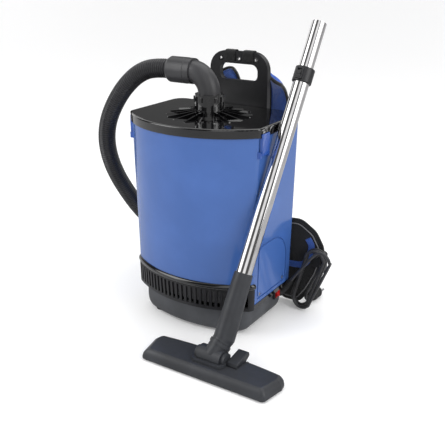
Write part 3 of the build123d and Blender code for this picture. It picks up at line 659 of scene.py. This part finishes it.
def swell(piece, pinned, pressure, slack, cap):
    """Blows a pad up with the cloth solver, its pinned points held, and keeps the result within a cap."""
    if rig.quick():
        return
    rest = [vertex.co.copy() for vertex in piece.data.vertices]
    group = piece.vertex_groups.new(name="pinned")
    group.add([i for i, point in enumerate(rest) if pinned(point)], 1.0, "REPLACE")
    cloth = piece.modifiers.new("cloth", "CLOTH")
    cloth.settings.quality = 5
    cloth.settings.mass = 0.25
    cloth.settings.bending_stiffness = 0.4
    cloth.settings.use_pressure = True
    cloth.settings.uniform_pressure_force = pressure
    cloth.settings.shrink_min = -slack
    cloth.settings.vertex_group_mass = "pinned"
    cloth.settings.effector_weights.gravity = 0.0
    for number in range(1, 21):
        scene.frame_set(number)
    blown = piece.evaluated_get(bpy.context.evaluated_depsgraph_get())
    moved = [vertex.co.copy() for vertex in blown.data.vertices]
    piece.modifiers.clear()
    piece.vertex_groups.clear()
    for vertex, old, new in zip(piece.data.vertices, rest, moved):
        move = new - old
        vertex.co = old + move * min(1.0, cap / max(move.length, 1e-9))
    piece.data.update()


def smoothed(piece, levels=1):
    modifier = piece.modifiers.new("smooth", "SUBSURF")
    modifier.levels = modifier.render_levels = levels
    return piece


def fit(piece, material, slot, body, *replaced):
    """Gives a piece its material, its record slot, its body and the nodes that it stands for."""
    piece.data.materials.append(material)
    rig.slot(piece, slot)
    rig.ride(piece, body)
    if replaced:
        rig.replaces(piece, *replaced)
    return piece


def mirrored(piece, name):
    """A copy of a piece on the machine's other side."""
    mesh = piece.data.copy()
    for vertex in mesh.vertices:
        vertex.co.x = -vertex.co.x
    mesh.flip_normals()
    copy = bpy.data.objects.new(name, mesh)
    scene.collection.objects.link(copy)
    for modifier in piece.modifiers:
        smoothed(copy, modifier.levels)
    return copy


# ---- camera, light and floor ----
def add_camera():
    data = bpy.data.cameras.new("camera")
    data.lens = CAMERA_LENS
    camera = bpy.data.objects.new("camera", data)
    scene.collection.objects.link(camera)
    camera.location = CAMERA_AT
    camera.rotation_mode = "QUATERNION"
    camera.rotation_quaternion = (CAMERA_TARGET - CAMERA_AT).to_track_quat("-Z", "Y")
    scene.camera = camera


def add_softbox(name, place, size, watts, target=(0.0, 0.0, 0.25)):
    data = bpy.data.lights.new(name, "AREA")
    data.shape = "RECTANGLE"
    data.size, data.size_y = size
    data.energy = watts
    light = bpy.data.objects.new(name, data)
    scene.collection.objects.link(light)
    light.location = place
    light.rotation_mode = "QUATERNION"
    light.rotation_quaternion = (Vector(target) - Vector(place)).to_track_quat("-Z", "Y")


def add_surround():
    """A white surround; what polished surfaces see of it is broken up by darker panels."""
    world = bpy.data.worlds.new("studio")
    world.use_nodes = True
    tree = world.node_tree

    def node(kind, operation=None):
        made = tree.nodes.new(kind)
        if operation:
            made.operation = operation
        return made

    split = node("ShaderNodeSeparateXYZ")
    tree.links.new(node("ShaderNodeTexCoord").outputs["Generated"], split.inputs[0])
    azimuth = node("ShaderNodeMath", "ARCTAN2")
    tree.links.new(split.outputs[1], azimuth.inputs[0])
    tree.links.new(split.outputs[0], azimuth.inputs[1])
    turned = node("ShaderNodeMath", "MULTIPLY_ADD")
    tree.links.new(azimuth.outputs[0], turned.inputs[0])
    turned.inputs[1].default_value = 5.0
    turned.inputs[2].default_value = 0.7
    swing = node("ShaderNodeMath", "SINE")
    tree.links.new(turned.outputs[0], swing.inputs[0])
    panel = node("ShaderNodeMapRange")
    tree.links.new(swing.outputs[0], panel.inputs["Value"])
    for name, value in (("From Min", -0.35), ("From Max", 0.35), ("To Min", 0.10), ("To Max", 1.05)):
        panel.inputs[name].default_value = value
    path = node("ShaderNodeLightPath")
    strength = node("ShaderNodeMix")
    tree.links.new(path.outputs["Is Glossy Ray"], strength.inputs[0])
    strength.inputs[2].default_value = 1.0
    tree.links.new(panel.outputs[0], strength.inputs[3])
    background = tree.nodes["Background"]
    background.inputs["Color"].default_value = (1.0, 1.0, 1.0, 1.0)
    tree.links.new(strength.outputs[0], background.inputs["Strength"])
    scene.world = world


def add_studio():
    add_surround()
    scene.view_settings.view_transform = "Standard"
    add_softbox("left_window", (-1.6, -1.3, 1.5), (1.4, 1.8), 16)
    add_softbox("right_window", (1.9, -0.2, 1.3), (1.2, 1.6), 14)
    add_softbox("top_window", (0.1, 0.5, 2.2), (2.0, 1.6), 12)
    floor = add_mesh("floor", [(-30, -30, 0), (30, -30, 0), (30, 30, 0), (-30, 30, 0)], [(0, 1, 2, 3)])
    paper = Material("floor_paper", Roughness=0.6, Emission_Color=(1.0, 1.0, 1.0), Emission_Strength=0.13)
    seen = paper.node("ShaderNodeLightPath").outputs["Is Glossy Ray"]
    paper.feed(Base_Color=paper.mix(seen, (0.90, 0.90, 0.905), (0.34, 0.34, 0.345)))
    paper.feed(Normal=paper.bump(paper.noise(300, 2), 0.00005))
    floor.data.materials.append(paper.data)
    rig.stage(floor)


# ---- cords ----
def add_hose():
    """The ribbed suction hose, from the cuff to the floor behind the machine."""
    rib_pitch, rib_depth, around = 0.0058, 0.0030, 36
    line = line_of(HOSE_ROUTE)
    length = sum((b - a).length for a, b in zip(line, line[1:]))
    stations = evenly(line, rib_pitch / 6)
    step = length / (len(stations) - 1)
    rings = []
    for i, (point, _, side, up) in enumerate(frames(stations)):
        phase = 0.5 - 0.5 * math.cos(2 * math.pi * i * step / rib_pitch)
        radius = HOSE_RADIUS - rib_depth * (1 - phase) ** 1.6
        rings.append([point + (side * math.cos(a) + up * math.sin(a)) * radius
                      for a in (2 * math.pi * k / around for k in range(around))])
    hose = skin("hose_ribbed", rings)
    hose.data.materials.append(HOSE)
    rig.slot(hose, "hose")
    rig.replaces(hose, "suction_hose")
    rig.blend(hose, "machine", "lid", start=(-0.30, 0.06, 0.26), end=(-0.13, 0.003, 0.556))
    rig.cord(hose, exit=HOSE_ROUTE[0], length=0.97, diameter=2 * HOSE_RADIUS, far_end="fitting",
            stiffness="medium", lay="loose", path=stations[::6],
            with_pieces=[frame["nodes"]["hose_end_cuff"]])


HANK_FRONT, HANK_PITCH = 0.1148, 0.0073
HANK_UP = Vector((0.28, 0.0, 0.96))
# the hank's bends in turn: centre X and Z, radius, and the angles where each starts and ends
HANK_BENDS = [
    (0.2335, 0.1375, 0.0222, 125, 0),
    (0.1885, 0.0300, 0.0222, 0, -180),
    (0.2150, 0.1345, 0.0222, 180, 0),
    (0.1815, 0.0340, 0.0220, 0, -180),
    (0.2165, 0.1330, 0.0230, 180, 0),
    (0.1838, 0.0285, 0.0222, 0, -180),
    (0.2145, 0.1350, 0.0222, 180, 0),
]
LEAD_TAIL = [
    (0.2165, 0.1391, 0.0980),
    (0.1980, 0.1391, 0.0560),
    (0.1905, 0.1400, 0.0370),
    (0.1876, 0.1438, 0.0240),
    (0.1870, 0.1512, 0.0165),
    (0.1870, 0.1610, 0.0137),
    (0.1870, 0.1740, 0.0135),
]


def hank_line():
    """The lead's turns over the hook: long flat loops, no two the same length."""
    up = HANK_UP.normalized()
    across = Vector((up.z, 0.0, -up.x))
    line, turned = [], 0.0
    for x, z, radius, start, end in HANK_BENDS:
        for k in range(13):
            angle = math.radians(start + (end - start) * k / 12)
            depth = HANK_FRONT + HANK_PITCH * (turned + (start - end) * k / 12) / 360
            spoke = (across * math.cos(angle) + up * math.sin(angle)) * radius
            line.append(Vector((x, depth, z)) + spoke)
        turned += start - end
    return line


PLUG_X, PLUG_Z = 0.187, 0.0135


def add_plug():
    """The moulded plug: a ribbed boot, a waisted grip with finger ridges, and two pins."""
    rings = []
    stations = [(0.1565, 0.0096, 0.0096)]
    stations += [(0.158 + 0.0040 * i + d, r, r) for i in range(3)
                 for d, r in ((0, 0.0104), (0.0019, 0.0120), (0.0023, 0.0102), (0.0036, 0.0102))]
    stations += [(0.1700, 0.0160, 0.0150), (0.1740, 0.0240, 0.0215), (0.1780, 0.0275, 0.0245)]
    stations += [(0.182 + 0.004 * i + d, w, h) for i in range(4)
                 for d, w, h in ((0, 0.0282, 0.0262), (0.0016, 0.0270, 0.0262), (0.0026, 0.0270, 0.0262))]
    stations += [(0.1990, 0.0296, 0.0268), (0.2060, 0.0298, 0.0268)]
    stations += [(0.2090, 0.0286, 0.0256), (0.2100, 0.0262, 0.0232)]
    for y, width, height in stations:
        rings.append([Vector((PLUG_X + u, y, PLUG_Z + v)) for u, v in oval(width, height, 40, 0.8)])
    plug = skin("plug_moulded", rings)
    fit(plug, RUBBER, "lead", "machine", "mains_plug")
    pins = []
    for x in (-0.0095, 0.0095):
        shaft = [[Vector((PLUG_X + x + u * k, y, PLUG_Z + v * k)) for u, v in oval(0.0048, 0.0048, 20)]
                 for y, k in ((0.2090, 1.0), (0.2265, 1.0), (0.2277, 0.8), (0.2282, 0.4))]
        pin = skin("plug_pin_" + ("left" if x < 0 else "right"), shaft)
        pins.append(fit(pin, STEEL, "screw_steel", "machine"))
    return [plug] + pins


def add_lead():
    route = [Vector(point) for point in LEAD_ROUTE]
    tail = [Vector(point) for point in LEAD_TAIL]
    wound = evenly(through(route + hank_line() + tail), 0.0075)
    lead = add_curve("lead_wound", [tuple(point) for point in wound], LEAD_RADIUS)
    fit(lead, SHEATH, "lead", "machine", "mains_cord", "cord_hank")
    length = sum((b - a).length for a, b in zip(wound, wound[1:]))
    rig.cord(lead, exit=LEAD_ROUTE[0], length=round(length, 2), diameter=2 * LEAD_RADIUS, far_end="plug",
            stiffness="limp", lay="coiled", with_pieces=add_plug())


# ---- harness ----
STRAP_X, STRAP_WIDTH, STRAP_LEAN = 0.068, 0.060, math.radians(32)
# the strap's and lower webbing's lines, in Y and Z, and the belt wing's corners, in X and Z
STRAP_LINE = [(0.153, 0.540), (0.176, 0.533), (0.198, 0.508), (0.208, 0.460),
              (0.206, 0.395), (0.196, 0.320), (0.184, 0.262), (0.177, 0.228)]
LOWER_LINE = [(0.1755, 0.226), (0.170, 0.198), (0.1655, 0.168), (0.1618, 0.1375)]
WING_CORNERS = [(0.006, 0.074), (0.006, 0.142), (0.096, 0.147), (0.122, 0.212), (0.164, 0.216),
                (0.202, 0.192), (0.221, 0.160), (0.226, 0.128), (0.212, 0.084), (0.190, 0.040),
                (0.166, 0.006), (0.116, 0.006), (0.084, 0.062)]
WING_RADII = [0.008, 0.008, 0.03, 0.03, 0.04, 0.04, 0.03, 0.03, 0.04, 0.03, 0.022, 0.03, 0.03]
WING_MIDDLE_Y = 0.153
PAD_MIDDLE_Y = 0.1535
PAD_HALF, PAD_LOW, PAD_HIGH = 0.083, 0.151, 0.447
# the blue loop on the front of the belt wing, in X and Z
LOOP_Y = 0.1452
LOOP_LINE = [(0.118, 0.103), (0.150, 0.103), (0.176, 0.108), (0.190, 0.128), (0.196, 0.158), (0.186, 0.176)]
# the belt webbing's inner end and middle height, and the lift loops' section line, in Y and Z
BELT_START, BELT_RUN, BELT_Y, BELT_Z = 0.020, 0.0186, 0.1616, 0.115
LIFT_LINE = [(0.1296, 0.573), (0.1296, 0.584), (0.1297, 0.591), (0.1325, 0.5957), (0.1381, 0.5963),
             (0.1437, 0.5957), (0.1465, 0.591), (0.1466, 0.584), (0.1466, 0.573)]


def padding(rim, thick, seam=0.0075, dip=0.0016):
    """How far a padded face stands out at a distance from its rim, with a row of stitches near the rim."""
    crown = thick * (1 - math.exp(-rim / 0.007))
    return max(crown - dip * math.exp(-((rim - seam) / 0.0018) ** 2), 0.0006)


def two_faced(piece, outer, inner):
    """Gives the outer and inner faces of a pad a material each."""
    piece.data.materials.append(outer)
    piece.data.materials.append(inner)
    faces = piece.data.polygons
    for face in faces:
        if face.index >= len(faces) // 2:
            face.material_index = 1


def rim_of(outline, place):
    """A test that is true for a pad's points on or near its rim."""
    rim = np.array([tuple(place(point.x, point.y, 0.0)) for point in outline])
    return lambda point: np.linalg.norm(rim - np.array(tuple(point)), axis=1).min() < 0.0055


def edge_line(outline, inset, place):
    """A pad's outline, moved in a little, as a line in space."""
    found = []
    for i, point in enumerate(outline):
        run = outline[(i + 1) % len(outline)] - outline[i - 1]
        found.append(point + Vector((-run.y, run.x, 0.0)).normalized() * inset)
    area = sum(a.x * b.y - b.x * a.y for a, b in zip(outline, outline[1:] + outline[:1]))
    if area < 0:
        found = [2 * point - moved for point, moved in zip(outline, found)]
    return [Vector(place(point.x, point.y, 0.0)) for point in found]


def add_straps():
    line = through([Vector((STRAP_X, y, z)) for y, z in STRAP_LINE])
    stations = frames(evenly(line, 0.002), Vector((1, 0, 0)))
    length = 0.002 * (len(stations) - 1)

    def place(u, v, w):
        spot = min(max(v / length, 0.0), 1.0) * (len(stations) - 1)
        i = min(int(spot), len(stations) - 2)
        share = spot - i
        point = stations[i][0].lerp(stations[i + 1][0], share)
        out = stations[i][3].lerp(stations[i + 1][3], share)
        lean = STRAP_LEAN * math.exp(-(v / 0.11) ** 2)
        across = Vector((math.cos(lean), 0, 0)) + out * math.sin(lean)
        face = Vector((math.sin(lean), 0, 0)) - out * math.cos(lean)
        return point + across * u + face * w

    def height(u, v, rim):
        ripple = 0.0005 * noise.noise(Vector((u * 60, v * 60, 3.0)))
        puff = padding(rim, 0.0062) + (ripple if rim > 0.01 else 0.0)
        return puff, puff

    half = STRAP_WIDTH / 2 - 0.0015
    corners = [(-half, 0.0015), (half, 0.0015), (half, length - 0.0015), (-half, length - 0.0015)]
    outline = rounded(corners, [0.018] * 4, 0.004)
    strap = pillow("strap_padded_right", outline, 0.004, height, place)
    two_faced(strap, BLUE_CLOTH, BLUE_MESH)
    swell(strap, rim_of(outline, place), 3.0, 0.02, 0.0018)
    binding = band("strap_binding_right", edge_line(outline, 0.0012, place), Vector((-1, 0, 0)),
                   oval(0.0085, 0.0062, 14, 0.8), closed=True)
    for side in ("right", "left"):
        pad = strap if side == "right" else mirrored(strap, "strap_padded_left")
        rim = binding if side == "right" else mirrored(binding, "strap_binding_left")
        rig.slot(pad, "strap_blue")
        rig.ride(pad, "machine")
        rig.replaces(pad, "shoulder_strap_" + side)
        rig.padded(pad, fill=0.6)
        smoothed(pad)
        if side == "right":
            rim.data.materials.append(BINDING)
        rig.slot(rim, "strap_blue")
        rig.ride(rim, "machine")


def add_wings():
    outline = rounded(WING_CORNERS, WING_RADII, 0.004)

    def place(u, v, w):
        return Vector((u, WING_MIDDLE_Y - w, v))

    def height(u, v, rim):
        quilt = 0.0012 * math.exp(-((u - 0.150 + 0.25 * (v - 0.11)) / 0.003) ** 2)
        swellings = 0.0006 * noise.noise(Vector((u * 30, v * 30, 9.0)))
        puff = padding(rim, 0.0062) - quilt + (swellings if rim > 0.01 else 0.0)
        return puff, puff

    wing = pillow("wing_padded_right", outline, 0.0045, height, place)
    swell(wing, rim_of(outline, place), 2.5, 0.015, 0.0015)
    binding = band("wing_binding_right", edge_line(outline, 0.0015, place), Vector((-1, 0, 0)),
                   oval(0.0095, 0.0066, 14, 0.8), closed=True)

    def on_front(u, v, w):
        return Vector((u, WING_MIDDLE_Y - 0.0056, v))

    piping = band("wing_piping_right", edge_line(outline, 0.0085, on_front), Vector((-1, 0, 0)),
                  oval(0.0024, 0.0024, 10), closed=True)
    loop = through([Vector((x, LOOP_Y, z)) for x, z in LOOP_LINE])
    lining = band("wing_loop_right", evenly(loop, 0.003), Vector((0, 0, 1)), oval(0.016, 0.0018, 16, 0.4))
    for piece, material, slot in ((wing, BLACK_CLOTH, "belt_black"), (binding, BINDING, "belt_black"),
                                  (piping, PIPING, "belt_black"), (lining, BLUE_MESH, "strap_blue")):
        piece.data.materials.append(material)
        left = mirrored(piece, piece.name.replace("right", "left"))
        for one in (piece, left):
            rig.slot(one, slot)
            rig.ride(one, "machine")
        if piece is wing:
            for one, side in ((wing, "right"), (left, "left")):
                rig.replaces(one, "hip_belt_" + side)
                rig.padded(one, fill=0.6)
                smoothed(one)


def add_back_pad():
    """The pad against the back, sewn in channels."""
    corners = [(-PAD_HALF, PAD_LOW), (PAD_HALF, PAD_LOW), (PAD_HALF, PAD_HIGH), (-PAD_HALF, PAD_HIGH)]
    outline = rounded(corners, [0.026] * 4, 0.005)

    def place(u, v, w):
        return Vector((-u, PAD_MIDDLE_Y + w, v))

    def height(u, v, rim):
        upright = min(abs(u - x) for x in (-0.030, 0.030))
        level = min(abs(v - z) for z in (0.225, 0.299, 0.373))
        seams = 0.0042 * math.exp(-(upright / 0.004) ** 2) + 0.0024 * math.exp(-(level / 0.003) ** 2)
        return max(padding(rim, 0.0070) - seams, 0.001), min(padding(rim, 0.0062), 0.0062)

    pad = pillow("pad_sewn", outline, 0.005, height, place)
    swell(pad, lambda point: point.y <= PAD_MIDDLE_Y + 0.0022, 2.0, 0.01, 0.0012)
    fit(smoothed(pad), BLACK_CLOTH, "belt_black", "machine", "back_pad")
    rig.padded(pad, fill=0.5)
    binding = band("pad_binding", edge_line(outline, 0.0012, place), Vector((1, 0, 0)),
                   oval(0.0085, 0.0060, 14, 0.8), closed=True)
    fit(binding, BINDING, "belt_black", "machine")


def add_webbing():
    """The woven tapes: lower straps, belt straps and the two lift loops."""
    lower = through([Vector((STRAP_X, y, z)) for y, z in LOWER_LINE])
    strip = band("webbing_lower_right", evenly(lower, 0.003), Vector((1, 0, 0)),
                 oval(0.025, 0.0021, 20, 0.3))
    belt_line = [Vector((BELT_START + BELT_RUN * k, BELT_Y + 0.0004 * math.sin(k),
                         BELT_Z + 0.0006 * math.cos(2 * k))) for k in range(11)]
    belt = band("webbing_belt_right", evenly(through(belt_line), 0.004), Vector((0, 0, 1)),
                oval(0.037, 0.0020, 20, 0.3))
    fit(strip, TAPE, "webbing", "machine", "harness_webbing")
    fit(belt, TAPE, "webbing", "machine", "harness_webbing")
    for piece in (strip, belt):
        copy = mirrored(piece, piece.name.replace("right", "left"))
        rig.slot(copy, "webbing")
        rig.ride(copy, "machine")
        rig.replaces(copy, "harness_webbing")
    for name, x in (("left", -0.0215), ("right", 0.0255)):
        line = through([Vector((x, y, z)) for y, z in LIFT_LINE], 5)
        loop = band("lift_loop_" + name, line, Vector((1, 0, 0)), oval(0.0265, 0.0019, 20, 0.3))
        fit(loop, TAPE, "webbing", "machine", "lift_loops")


# ---- brushes, bag and filter ----
BRUSH_ROWS, BRUSH_X = (-0.253, -0.217), (0.021, 0.285)


def add_bristles():
    """Two rows of bristle tufts, splayed a little, set in a thin carrier."""
    points, faces = [], []
    for row in BRUSH_ROWS:
        start = len(points)
        for x in (BRUSH_X[0] - 0.001, BRUSH_X[1] + 0.001):
            points += [(x, row - 0.0028, 0.0072), (x, row + 0.0028, 0.0072), (x, row + 0.0028, 0.009),
                       (x, row - 0.0028, 0.009)]
        faces += [(start, start + 1, start + 2, start + 3), (start + 7, start + 6, start + 5, start + 4)]
        faces += [(start + k, start + 4 + k, start + 4 + (k + 1) % 4, start + (k + 1) % 4)
                  for k in range(4)]
        count = 66
        for tuft in range(count):
            x = BRUSH_X[0] + 0.001 + (BRUSH_X[1] - BRUSH_X[0] - 0.002) * tuft / (count - 1)
            for _ in range(14):
                turn, spread = random.uniform(0, 2 * math.pi), random.uniform(0, 0.0014)
                root = Vector((x + spread * math.cos(turn), row + spread * math.sin(turn), 0.0075))
                tip = Vector((x + 1.6 * spread * math.cos(turn), row + 1.6 * spread * math.sin(turn),
                              0.0012 + random.uniform(0, 0.0007)))
                first = len(points)
                for centre, radius in ((root, 0.00022), (tip, 0.00012)):
                    points += [centre + Vector((radius * math.cos(a), radius * math.sin(a), 0.0))
                               for a in (0, 2.1, 4.2)]
                faces += [(first + k, first + (k + 1) % 3, first + 3 + (k + 1) % 3, first + 3 + k)
                          for k in range(3)]
                faces.append((first + 5, first + 4, first + 3))
    tufts = add_mesh("brush_tufts", points, faces)
    fit(tufts, BRISTLE, "bristle", "brushes", "brush_strips")


def add_bag():
    """The hung fleece bag, its sides drawn into folds."""
    low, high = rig.box("filter_bag")
    middle = (low + high) / 2
    rings = []
    levels = 28
    for k in range(levels + 1):
        share = k / levels
        z = low.z + (high.z - low.z) * share
        full = min(1.0, 0.72 + 0.5 * share) * (1 - 0.55 * max(0.0, (share - 0.94) / 0.06) ** 2)
        ring = []
        for i in range(72):
            angle = 2 * math.pi * i / 72
            c, s = math.cos(angle), math.sin(angle)
            fold = 1 - 0.035 * (0.5 + 0.5 * math.cos(9 * angle + 2 * share)) * (1 - 0.5 * share)
            u = math.copysign(abs(c) ** 0.7, c) * (high.x - low.x) / 2 * full * fold
            v = math.copysign(abs(s) ** 0.7, s) * (high.y - low.y) / 2 * full * fold
            ring.append(Vector((middle.x + u, middle.y + v, z)))
        rings.append(ring)
    bag = skin("bag_fleece", rings)
    fit(bag, FLEECE, "bag", "machine", "filter_bag")
    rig.padded(bag, fill=0.4)


def add_filter():
    """The foam filter behind the grille, its cut faces slightly uneven."""
    source = frame["nodes"]["exhaust_filter"].data
    copy = bpy.data.objects.new("filter_source", source.copy())
    scene.collection.objects.link(copy)
    remesh = copy.modifiers.new("remesh", "REMESH")
    remesh.mode = "VOXEL"
    remesh.voxel_size = 0.003
    mesh = bpy.data.meshes.new_from_object(copy.evaluated_get(bpy.context.evaluated_depsgraph_get()))
    bpy.data.objects.remove(copy)
    mesh.materials.clear()
    for vertex in mesh.vertices:
        vertex.co += vertex.normal * (0.0005 * noise.noise(vertex.co * 300) - 0.0003)
    mesh.shade_smooth()
    piece = bpy.data.objects.new("filter_foam", mesh)
    scene.collection.objects.link(piece)
    fit(piece, FOAM, "foam", "machine", "exhaust_filter")


def build():
    add_camera()
    add_studio()
    paint_cad_nodes()
    add_hose()
    add_lead()
    add_straps()
    add_wings()
    add_back_pad()
    add_webbing()
    add_bristles()
    add_bag()
    add_filter()



build()
low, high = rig.bounds()
with open("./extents.json", "w") as size_file:
    json.dump({"cad": [list(cad_low), list(cad_high)], "visual": [list(low), list(high)]}, size_file)
